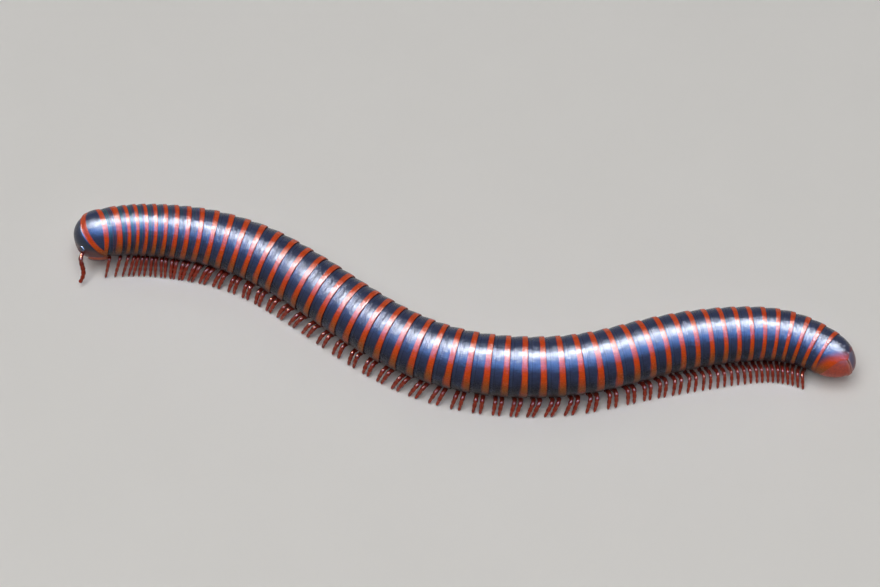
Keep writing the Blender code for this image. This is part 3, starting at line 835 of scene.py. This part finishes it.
def leg_knots(number, distance, side):
    centre, along, left, _ = axis_frames(distance)
    radius = body_radius(distance)
    belly = centre[2] - BELLY_FLATTENING * radius
    heights = (
        belly + LEG_ROOT_RISE * radius,
        belly - LEG_HIP_DEPTH,
        belly + LEG_KNEE_RISE,
        LEG_ANKLE_HEIGHT,
        0.0,
    )
    calm = ease(distance, SWING_FADE_START, SWING_FADE_END)
    swing = LEG_SWING + (TAIL_LEG_SWING - LEG_SWING) * calm
    swing *= math.sin(tau * (number - WAVE_START) / WAVE_LEGS)
    swing += LEG_LEAN * (1.0 - calm)
    swing += TAIL_LEG_LEAN * ease(distance, TAIL_LEAN_START, TAIL_LEAN_END)
    level = unit(np.array((along[0], along[1], 0.0)))
    knots = []
    wide = radius * (1.0 + (TAIL_LEG_REACH - 1.0) * calm)
    for reach, height, share, bow in zip(LEG_REACH, heights, LEG_SWING_SHARE, LEG_BOW):
        point = centre + left * side * reach * wide + level * (swing * share + bow)
        knots.append((point[0], point[1], height))
    slim = 1.0 - TAIL_LEG_THINNING * calm
    slim -= NECK_LEG_THINNING * (1.0 - ease(distance, NECK_LEG_START, NECK_LEG_END))
    return np.array(knots), level, slim


def along_line(line, shares):
    """Points of a line at these shares of its length."""
    steps = np.linalg.norm(np.diff(line, axis=0), axis=1)
    run = np.concatenate(([0.0], np.cumsum(steps)))
    reach = shares * run[-1]
    return np.stack([np.interp(reach, run, line[:, axis]) for axis in range(3)], axis=-1)


def tube(path, radii, sides, lean):
    """Rows of points round a path. The columns start on the side named by lean."""
    ahead = unit(np.gradient(path, axis=0))
    first = unit(lean - ahead * (ahead @ lean)[:, None])
    second = np.cross(ahead, first)
    angles = full_turn(sides)[None, :, None]
    ring = first[:, None] * np.cos(angles) + second[:, None] * np.sin(angles)
    return path[:, None] + ring * np.asarray(radii)[:, None, None]


def add_limb(shape, line, stations, thickness, sides, lean):
    """Adds a jointed limb along a line, closed at both ends, and gives its path."""
    path = along_line(line, stations[:, 0])
    points = tube(path, stations[:, 1] * thickness, sides, lean)
    values = {"joint": stations[:, 2][:, None], "length": stations[:, 0][:, None]}
    shape.add(points, values, first=line[0], last=line[-1])
    return path


def make_legs():
    stations = np.array(LEG_STATIONS)
    for word, side in SIDES:
        shape = Shape()
        for number, distance in enumerate(leg_places()):
            knots, level, slim = leg_knots(number, distance, side)
            line = spline(knots, np.linspace(0.0, len(knots) - 1.0, LINE_SAMPLES))
            line[:, 2] = np.maximum(line[:, 2], 0.0)
            add_limb(shape, line, stations, LEG_THICKNESS * slim, LEG_SIDES, level)
        shape.item(f"legs_{word}", LIMB)


def make_belly_plates():
    """One low plate across the belly for each pair of legs."""
    shape = Shape()
    turn = full_turn(PLATE_SIDES)
    rows, depth = np.array(PLATE_PROFILE).T[:, :, None]
    for distance in leg_places():
        radius = float(body_radius(distance))
        width = PLATE_WIDTH * radius
        side = width * rows * signed_power(np.cos(turn), PLATE_SQUARENESS)
        run = distance + PLATE_LENGTH * rows * signed_power(np.sin(turn), PLATE_SQUARENESS)
        rise = -BELLY_FLATTENING * np.sqrt(radius ** 2 - side ** 2) - depth
        points = body_points(run, side, rise)
        lowest = -BELLY_FLATTENING * radius - PLATE_DEPTH
        pole = body_points(np.array(distance), np.array(0.0), lowest)
        shape.add(points[:, ::-1], last=pole)
    shape.item("belly_plates", belly_paint())


# Collum


def head_axes():
    centre, along, left, up = axis_frames(DOME_CENTRE)
    return centre, -along, left, up


HEAD_ORIGIN, AHEAD, LEFT, UP = head_axes()


def head_points(side, front, rise):
    """Points at these offsets from the centre of the head, in metres."""
    side, front, rise = (np.asarray(value, float)[..., None] for value in (side, front, rise))
    return HEAD_ORIGIN + LEFT * side + AHEAD * front + UP * rise


COLLUM_TOP = (DOME_CENTRE - COLLUM_FRONT_TOP, DOME_RADIUS * MARGIN_TOP_SHARE)
COLLUM_PLANE = COLLUM_TOP[0] * math.cos(COLLUM_SLANT) - COLLUM_TOP[1] * math.sin(COLLUM_SLANT)


def make_collum():
    """A curved plate from the slanted front margin back to the first of the rings."""
    share = np.linspace(0.0, 1.0, COLLUM_GRID[0])[:, None]
    spread = np.linspace(-1.0, 1.0, COLLUM_GRID[1])[None, :]
    cos, sin = math.cos(COLLUM_SLANT), math.sin(COLLUM_SLANT)
    girth = math.sqrt(DOME_RADIUS ** 2 - COLLUM_PLANE ** 2)
    lowest = (COLLUM_PLANE * sin - LOBE_DEPTH) / (girth * cos)
    angle = math.acos(max(lowest, -1.0)) * spread
    ahead = COLLUM_PLANE * cos + girth * np.cos(angle) * sin
    above = girth * np.cos(angle) * cos - COLLUM_PLANE * sin
    front_turn = np.arctan2(girth * np.sin(angle), above)
    bent = DOME_RADIUS * np.arcsin(np.clip(ahead / DOME_RADIUS, -1, 1))
    front_run = np.where(ahead > 0.0, bent, ahead)
    rear_turn = math.acos(-LOBE_DEPTH / DOME_RADIUS) * spread
    rear_run = DOME_CENTRE - COLLUM_END - RING_SKEW * DOME_RADIUS * np.cos(rear_turn - SKEW_ANGLE)
    corner = 1.0 - COLLUM_CORNER * np.abs(2.0 * share - 1.0) ** 5
    turn = (front_turn + (rear_turn - front_turn) * share) * corner
    run = front_run + (rear_run - front_run) * share
    inset = np.abs(turn[:, -1:]) - np.abs(turn)
    values = {
        "front": (front_run - run) * PER_METRE,
        "rear": (run - rear_run) * PER_METRE,
        "lobe": inset * DOME_MM,
        "around": np.abs(turn) / pi * COLLUM_AROUND,
        "arc": turn * DOME_MM,
        "run": run * PER_METRE,
        "ring": 1.0,
    }
    near = np.minimum(front_run - run, inset * DOME_RADIUS)
    lift = ridge(near, *COLLUM_BEAD)
    points = doubled(collum_points(turn, run, lift), collum_points(turn, run, -COLLUM_THICKNESS))
    for key, value in values.items():
        whole = np.broadcast_to(value, turn.shape)
        values[key] = doubled(whole, whole)
    shape = Shape()
    shape.add(points, values, around=False, along=True)
    close_rims(shape.item("collum_plate", collum_paint(), ("collum",)))


def collum_points(turn, run, lift):
    """Points on the collum by angle from the top and by way ahead of the dome's centre."""
    bend = np.maximum(run, 0.0) / DOME_RADIUS
    radius = (DOME_RADIUS + lift) * np.cos(bend)
    front = np.minimum(run, 0.0) + (DOME_RADIUS + lift) * np.sin(bend)
    return head_points(radius * np.sin(turn), front, radius * np.cos(turn))


def close_rims(piece):
    """Fills open rims and keeps the piece's thin edges crisp."""
    mesh = bmesh.new()
    mesh.from_mesh(piece.data)
    rims = [edge for edge in mesh.edges if edge.is_boundary]
    if rims:
        bmesh.ops.holes_fill(mesh, edges=rims, sides=0)
        bmesh.ops.triangulate(mesh, faces=[face for face in mesh.faces if len(face.verts) > 4])
    bmesh.ops.recalc_face_normals(mesh, faces=mesh.faces)
    mesh.to_mesh(piece.data)
    mesh.free()
    piece.data.set_sharp_from_angle(angle=SHARP_ANGLE)


# Head


def head_surface(turn, tilt, lift=0.0):
    """Offsets of the head's surface, by the angle round it from the front and from the top."""
    rise = np.cos(tilt)
    front = np.sin(tilt) * np.cos(turn)
    side = np.sin(tilt) * np.sin(turn)
    low = rise < 0.0
    width = np.where(low, HEAD_RADIUS * (1.0 - (1.0 - MOUTH_WIDTH_SHARE) * rise * rise), HEAD_RADIUS)
    height = np.where(low, MOUTH_DROP, HEAD_RADIUS)
    safe = np.clip(np.abs(rise), 0.0, 0.9999)
    fullness = np.where(low, np.sqrt((1.0 - safe ** JAW_FULLNESS) / (1.0 - safe * safe)), 1.0)
    return (
        side * (width * fullness + lift),
        front * (HEAD_FRONT * fullness + lift),
        rise * (height + lift),
    )


def on_head(turn, tilt, lift):
    return head_points(*head_surface(turn, tilt, lift))


def make_head():
    shape = Shape()
    tilt = np.linspace(CROWN_ANGLE, pi - CROWN_ANGLE, HEAD_GRID[0])[:, None]
    turn = full_turn(HEAD_GRID[1])[None, :]
    side, front, rise = np.broadcast_arrays(*head_surface(turn, tilt))
    # Under the collum the capsule draws in
    plane = front * math.cos(COLLUM_SLANT) - rise * math.sin(COLLUM_SLANT)
    tuck = ease(COLLUM_PLANE + TUCK_START - plane, 0.0, TUCK_LENGTH)
    tuck = tuck * ease(rise, -LOBE_DEPTH - TUCK_BELOW, -LOBE_DEPTH + TUCK_ABOVE)
    shrink = 1.0 - TUCK_DEPTH * tuck
    # Sockets of the antennae with raised rims, and the hollow of the face below them
    dent = np.zeros_like(side)
    for _, sign in SIDES:
        off_side = side - sign * ANTENNA_ROOT[0] * SOCKET_SPREAD
        off_front = front - ANTENNA_ROOT[1] * SOCKET_FRONT
        gap = np.hypot(np.hypot(off_side, off_front), rise - ANTENNA_ROOT[2])
        dent += ridge(gap, *SOCKET) - ridge(gap, *SOCKET_RIM)
    hollow = ridge(side, *FACE_HOLLOW) * ease(-rise, *HOLLOW_DROP)
    dent += hollow * ease(front, 0.0, HOLLOW_FRONT)
    draw = shrink * (1.0 - dent)
    front = np.where(front < 0.0, front * HEAD_BACK_SHARE, front)
    points = head_points(side * draw, front * draw, rise * shrink)
    values = {"rise": rise[:, ::-1] * PER_METRE, "side": side[:, ::-1] * PER_METRE}
    top = head_points(0.0, 0.0, HEAD_RADIUS * (1.0 - TUCK_DEPTH))
    bottom = head_points(0.0, 0.0, -MOUTH_DROP)
    shape.add(points[:, ::-1], values, first=top, last=bottom)
    shape.item("head_capsule", head_paint(), ("head",))


def make_mandibles():
    """Swollen plates low on each side of the head."""
    spread = full_turn(JAW_SIDES)[None, :]
    ring, lift = np.array(JAW_PROFILE).T[:, :, None]
    wide = signed_power(np.cos(spread), JAW_SQUARENESS)
    tall = signed_power(np.sin(spread), JAW_SQUARENESS)
    turn = JAW_TURN + JAW_HALF_WIDTH * ring * wide
    tilt = JAW_TILT + JAW_HALF_HEIGHT * ring * tall
    for word, sign in SIDES:
        shape = Shape()
        points = on_head(sign * turn, tilt, lift)
        if sign > 0:
            points = points[:, ::-1]
        middle = on_head(sign * JAW_TURN, JAW_TILT, JAW_LIFT)
        shape.add(points, {"edge": 1.0 - ring ** 2}, last=middle)
        name = f"mandible_plate_{word}"
        close_rims(shape.item(name, JAW, (f"mandible_{word}",)))


def make_mouth():
    """The toothed upper lip and the lower lip plate."""
    shape = Shape()
    spread = np.linspace(-1.0, 1.0, 61)[None, :]
    share = np.linspace(0.0, 1.0, 12)[:, None]
    teeth = ridge(np.abs(spread), 0.05, 0.11, 0.045) + ridge(spread, 0.05, 0.0, 0.04)
    notch = ridge(spread, 0.16, 0.0, 0.22) - teeth
    turn = UPPER_HALF_WIDTH * spread
    tilt = UPPER_TILT + UPPER_HEIGHT * share * (1.0 - notch)
    lift = UPPER_CROWN * np.sin(pi * np.clip(share, 0.04, 0.94)) + 0.0 * spread
    outer = on_head(turn, tilt, lift)
    inner = on_head(turn, tilt, lift - UPPER_THICKNESS)
    shape.add(doubled(outer, inner), {"edge": 0.15}, around=False, along=True)
    close_rims(shape.item("upper_lip", JAW))
    lower = Shape()
    share = np.linspace(-1.0, 1.0, 45)[:, None]
    spread = np.linspace(-1.0, 1.0, 45)[None, :]
    width = LOWER_HALF_WIDTH * (1.0 - 0.28 * ease(share, -1.0, 1.0))
    side = spread * width * (1.0 - 0.12 * np.abs(share) ** 6)
    front = LOWER_FRONT + LOWER_HALF_LENGTH * share * (1.0 - 0.10 * spread ** 2)
    seam = ridge(np.abs(side), SEAM_HEIGHT, 0.00055 * (1 + 0.3 * share), 0.00006)
    seam = seam + ridge(side, SEAM_HEIGHT, 0.0, 0.00005) * ease(share, 0.1, 0.3)
    seam = seam + ridge(share + 0.35 - 0.5 * np.abs(spread), SEAM_HEIGHT, 0.0, 0.035)
    crown = LOWER_CROWN * (1.0 - spread ** 4) * (1.0 - share ** 6)
    rise = -LOWER_DROP - crown + seam + 0.00045 * share ** 2 * (share < 0)
    outer = head_points(side, front + 0.0 * side, rise)
    inner = head_points(side * 0.97, front + 0.0 * side, LOWER_INSIDE + 0.0 * rise)
    lower.add(doubled(outer, inner), {"edge": 0.35}, around=False, along=True)
    close_rims(lower.item("lower_lip_plate", JAW))


def make_eyes():
    """Each eye is a patch of small beads in rows on a low base."""
    paint = eye_paint()
    half_length, half_height = EYE_LENGTH / 2, EYE_HEIGHT / 2
    spread = full_turn(EYE_SIDES)[None, :]
    ring, lift = np.array(EYE_PROFILE).T[:, :, None]
    base_turn = EYE_ANGLE + ring * np.cos(spread) * half_length / HEAD_FRONT
    base_tilt = pi / 2 + ring * np.sin(spread) * half_height / HEAD_RADIUS
    for word, sign in SIDES:
        shape = Shape()
        for row in range(-4, 5):
            for column in range(-5, 6):
                x = (column + 0.5 * (row % 2)) * BEAD_PITCH
                y = row * BEAD_PITCH * 0.866
                if (x / half_length) ** 2 + (y / half_height) ** 2 > 1.0:
                    continue
                turn = EYE_ANGLE + x / HEAD_FRONT
                bead(shape, sign * turn, pi / 2 - y / HEAD_RADIUS, BEAD_PITCH * 0.56)
        points = on_head(sign * base_turn, base_tilt, lift)
        middle = on_head(sign * EYE_ANGLE, pi / 2, EYE_LIFT)
        shape.add(points[:, ::-1] if sign > 0 else points, last=middle)
        close_rims(shape.item(f"ocelli_{word}", paint, (f"eye_{word}",)))


def bead(shape, turn, tilt, radius):
    centre = on_head(turn, tilt, BEAD_LIFT)
    side, front, rise = head_surface(turn, tilt)
    out = unit(LEFT * side + AHEAD * front + UP * rise)
    first = unit(np.cross(out, UP))
    second = np.cross(out, first)
    polar = np.array((1.75, 1.3, 0.9, 0.45))[:, None]
    angles = full_turn(8)[None, :]
    points = (
        centre
        + out * (radius * BEAD_HEIGHT * np.cos(polar + 0.0 * angles))[..., None]
        + first * (radius * np.sin(polar) * np.cos(angles))[..., None]
        + second * (radius * np.sin(polar) * np.sin(angles))[..., None]
    )
    top = centre + out * radius * BEAD_HEIGHT
    shape.add(points[:, ::-1], first=centre - out * radius * 0.2, last=top)


def make_antennae():
    stations = []
    for joint in range(JOINTS):
        size = 0.80 + 0.24 * math.sin(pi * (joint + 0.6) / JOINTS)
        for part, girth, near in ANTENNA_PROFILE:
            place = joint / JOINTS + part / JOINTS
            stations.append((place, girth * size, near))
    stations = np.array(stations)
    for word, sign in SIDES:
        sweep = 1.0 if sign > 0 else RIGHT_ANTENNA_SWEEP
        knots = [np.array(ANTENNA_ROOT)]
        for out, front, rise in ANTENNA_STEPS:
            knots.append(knots[-1] + np.array((out, front * sweep, rise)))
        line = spline(np.array(knots), np.linspace(0.0, len(ANTENNA_STEPS), LINE_SAMPLES))
        line = head_points(sign * line[:, 0], line[:, 1], line[:, 2])
        shape = Shape()
        path = add_limb(shape, line, stations, ANTENNA_RADIUS, ANTENNA_SIDES, AHEAD)
        tip = line[-1]
        down = unit(tip - path[-1])
        for quarter in range(4):
            angle = tau * (quarter + 0.5) / 4
            aside = (AHEAD * math.cos(angle) + LEFT * math.sin(angle)) * CONE_SPREAD
            foot = tip - down * CONE_ROOT + aside
            steps, radii = np.array(CONE_PROFILE).T
            ring = tube(foot + down * steps[:, None], radii, 8, AHEAD)
            shape.add(ring, {"joint": 0.8, "length": 1.0}, last=foot + down * CONE_LENGTH)
        shape.item(f"antenna_limb_{word}", LIMB, (f"antenna_{word}",))


# Tail


def tail_radius(distance):
    share = np.clip((distance - TRUNK_END) / (TAIL_TIP - TRUNK_END), 0.0, 1.0)
    return body_radius(TRUNK_END) * (1.0 - share ** TAIL_BLUNTNESS) ** (1.0 / TAIL_BLUNTNESS)


def outermost(inside, low, high):
    """The furthest values between low and high that are still inside, by halving."""
    for _ in range(HALVINGS):
        middle = (low + high) / 2
        kept = inside(middle)
        low = np.where(kept, middle, low)
        high = np.where(kept, high, middle)
    return low


def make_tail():
    shape = Shape()
    angles = full_turn(TAIL_SIDES)[None, :]
    height = flatten(np.cos(angles))
    cos, sin = math.cos(VALVE_SLANT), math.sin(VALVE_SLANT)

    def before_slant(distance):
        over = (distance - VALVE_START) * cos
        return over - TAIL_FIT * tail_radius(distance) * height * sin <= 0.0

    start = np.full_like(angles, TRUNK_END + TAIL_GAP)
    margin = outermost(before_slant, start, np.full_like(angles, TAIL_TIP))
    wrapped = np.minimum(angles, tau - angles)
    margin = margin + ridge(wrapped, *TAIL_POINT)
    margin = np.maximum(margin, TRUNK_END + TAIL_SHORTEST)
    share = np.concatenate((np.linspace(0.0, 1.0, TAIL_ROWS), TAIL_RIM_SHARES))[:, None]
    bump = np.zeros_like(share)
    bump[-len(TAIL_RIM_SWELLING):, 0] = TAIL_RIM_SWELLING
    distance = TAIL_FRONT + (margin - TAIL_FRONT) * share
    tuck = TAIL_TUCK * (1.0 - ease(share, 0.0, TAIL_TUCK_END))
    radius = (TAIL_GIRTH - tuck) * tail_radius(distance) + bump * body_radius(TRUNK_END)
    points = body_points(distance, radius * np.sin(angles), radius * height)
    shifted = (angles + TAIL_ROLL) % tau
    rolled = np.minimum(shifted, tau - shifted) / pi
    values = {
        "place": (distance - TRUNK_END) / TAIL_PLACE,
        "around": rolled * TAIL_AROUND,
        "arc": np.where(angles > pi, angles - tau, angles) * TAIL_MM,
        "run": distance * PER_METRE,
        "ring": 200.0,
    }
    shape.add(points, values)
    shape.item("preanal_shell", tail_paint(), ("preanal_ring",))


def tail_excess(distance, side, rise):
    """How far a point stands outside the rounded end of the body."""
    scaled = np.where(rise < 0.0, rise / BELLY_FLATTENING, rise)
    beyond = np.maximum(distance - TAIL_TIP, 0.0)
    return np.hypot(side, scaled) - VALVE_FIT * tail_radius(distance) + beyond


def valve_reach(side, rise, start):
    """How far the slanted plane goes on in this direction, from a height on it."""

    def inside(reach):
        height = start + rise * reach
        distance = VALVE_START + height * math.sin(VALVE_SLANT)
        return tail_excess(distance, side * reach, height * math.cos(VALVE_SLANT)) < 0.0

    return outermost(inside, np.zeros(np.shape(rise)), VALVE_FURTHEST)


def make_valves():
    """Two swollen valves behind the slanted margin, with raised lips along the slit."""
    paint = valve_paint()
    cos, sin = math.cos(VALVE_SLANT), math.sin(VALVE_SLANT)
    share = np.linspace(-VALVE_SHARE, VALVE_SHARE, VALVE_ROWS)[:, None]
    lip_across, lip_depth = np.array(VALVE_PROFILE).T
    across = np.concatenate((lip_across, np.linspace(0.16, 1.0, VALVE_COLUMNS)))[None, :]
    depth = np.concatenate((lip_depth, np.zeros(VALVE_COLUMNS)))[None, :]
    top = float(valve_reach(0.0, np.array(1.0), 0.0))
    bottom = -float(valve_reach(0.0, np.array(-1.0), 0.0))
    middle = (top + bottom) / 2 + (top - bottom) / 2 * share
    edge = valve_reach(1.0, 0.0 * middle, middle)
    side = VALVE_SLIT + across * (edge - VALVE_SLIT)
    distance = VALVE_START + middle * sin
    rise = middle * cos

    def inside(out):
        return tail_excess(distance + out * cos, side, rise - out * sin) < 0.0

    swell = outermost(inside, np.full(side.shape, VALVE_LOWEST), np.full(side.shape, VALVE_HIGHEST))
    lip = ridge(side, *VALVE_LIP)
    crown = VALVE_CROWN * np.sin(pi * np.clip(across, 0.0, 1.0)) * (1.0 - share ** 2)
    out = swell + lip + crown + depth * VALVE_LIP_DEPTH
    for word, sign in SIDES:
        shape = Shape()
        points = body_points(distance + out * cos, sign * side, rise - out * sin)
        rim = side * PER_METRE - VALVE_RIM_START
        if sign < 0:
            points = points[:, ::-1]
            rim = rim[:, ::-1]
        tint = share - (TAIL_ROLL_TINT if sign > 0 else 0.0)
        shape.add(points, {"rim": rim, "top": tint}, around=False)
        close_rims(shape.item(f"valve_{word}", paint, (f"anal_valve_{word}",)))


# Stage


def make_stage():
    half = FLOOR_SIZE / 2
    corners = [(-half, -half, 0), (half, -half, 0), (half, half, 0), (-half, half, 0)]
    data = bpy.data.meshes.new("floor")
    data.from_pydata(corners, [], [(0, 1, 2, 3)])
    floor = add_object("floor", data)
    paint = Paint("floor")
    grain = paint.noise(paint.place(), 60.0, 3.0)
    colour = paint.mix(grain, *FLOOR_COLOURS)
    data.materials.append(paint.finish(Base_Color=colour, Roughness=0.85, Specular_IOR_Level=0.0))
    world = bpy.data.worlds.new("studio")
    world.use_nodes = True
    bpy.context.scene.world = world
    sky = world.node_tree.nodes["Background"]
    sky.inputs["Color"].default_value = (*SKY_COLOUR, 1.0)
    sky.inputs["Strength"].default_value = SKY_STRENGTH
    bpy.context.scene.view_settings.view_transform = "Standard"


def add_light(name, elevation, azimuth, distance, size, power, colour, glossy_only=False):
    """An area light aimed at the body. Elevation runs from the camera's side over the top."""
    data = bpy.data.lights.new(name, "AREA")
    data.shape = "RECTANGLE"
    data.size, data.size_y = size
    data.energy = power
    data.color = colour
    lamp = add_object(name, data)
    up = radians(elevation)
    aside = radians(azimuth)
    out = Vector((math.sin(aside) * math.cos(up), -math.cos(aside) * math.cos(up), math.sin(up)))
    lamp.location = out * distance
    right = Vector((math.cos(aside), math.sin(aside), 0.0))
    rise = out.cross(right)
    lamp.rotation_euler = Matrix((right, rise, out)).transposed().to_euler()
    lamp.visible_diffuse = not glossy_only


def make_lights():
    """A soft key light, and three lamps that show only in the gloss of the shell."""
    add_light("soft_key", 75, -20, 0.9, (0.7, 0.7), 5.2, (1.0, 0.98, 0.95))
    add_light("bright_strip", 105, 0, 0.45, (0.90, 0.11), 52.0, (0.90, 0.93, 1.0), True)
    add_light("pale_bank", 94, 0, 0.60, (1.30, 0.44), 35.0, (0.38, 0.57, 1.0), True)
    add_light("blue_bank", 67, 0, 0.60, (1.30, 0.28), 33.0, (0.10, 0.36, 1.0), True)


def make_camera():
    data = bpy.data.cameras.new("camera")
    data.lens = CAMERA_LENS
    data.sensor_width = CAMERA_SENSOR
    data.clip_start = CAMERA_CLIP
    camera = add_object("camera", data)
    back = Vector((0.0, -math.cos(CAMERA_ELEVATION), math.sin(CAMERA_ELEVATION)))
    camera.location = Vector(CAMERA_TARGET) + back * CAMERA_DISTANCE
    camera.rotation_euler = (pi / 2 - CAMERA_ELEVATION, 0.0, 0.0)
    bpy.context.scene.camera = camera


LIMB = limb_paint()
JAW = jaw_paint()
make_rings()
make_legs()
make_belly_plates()
make_collum()
make_head()
make_mandibles()
make_mouth()
make_eyes()
make_antennae()
make_tail()
make_valves()
make_stage()
make_lights()
make_camera()
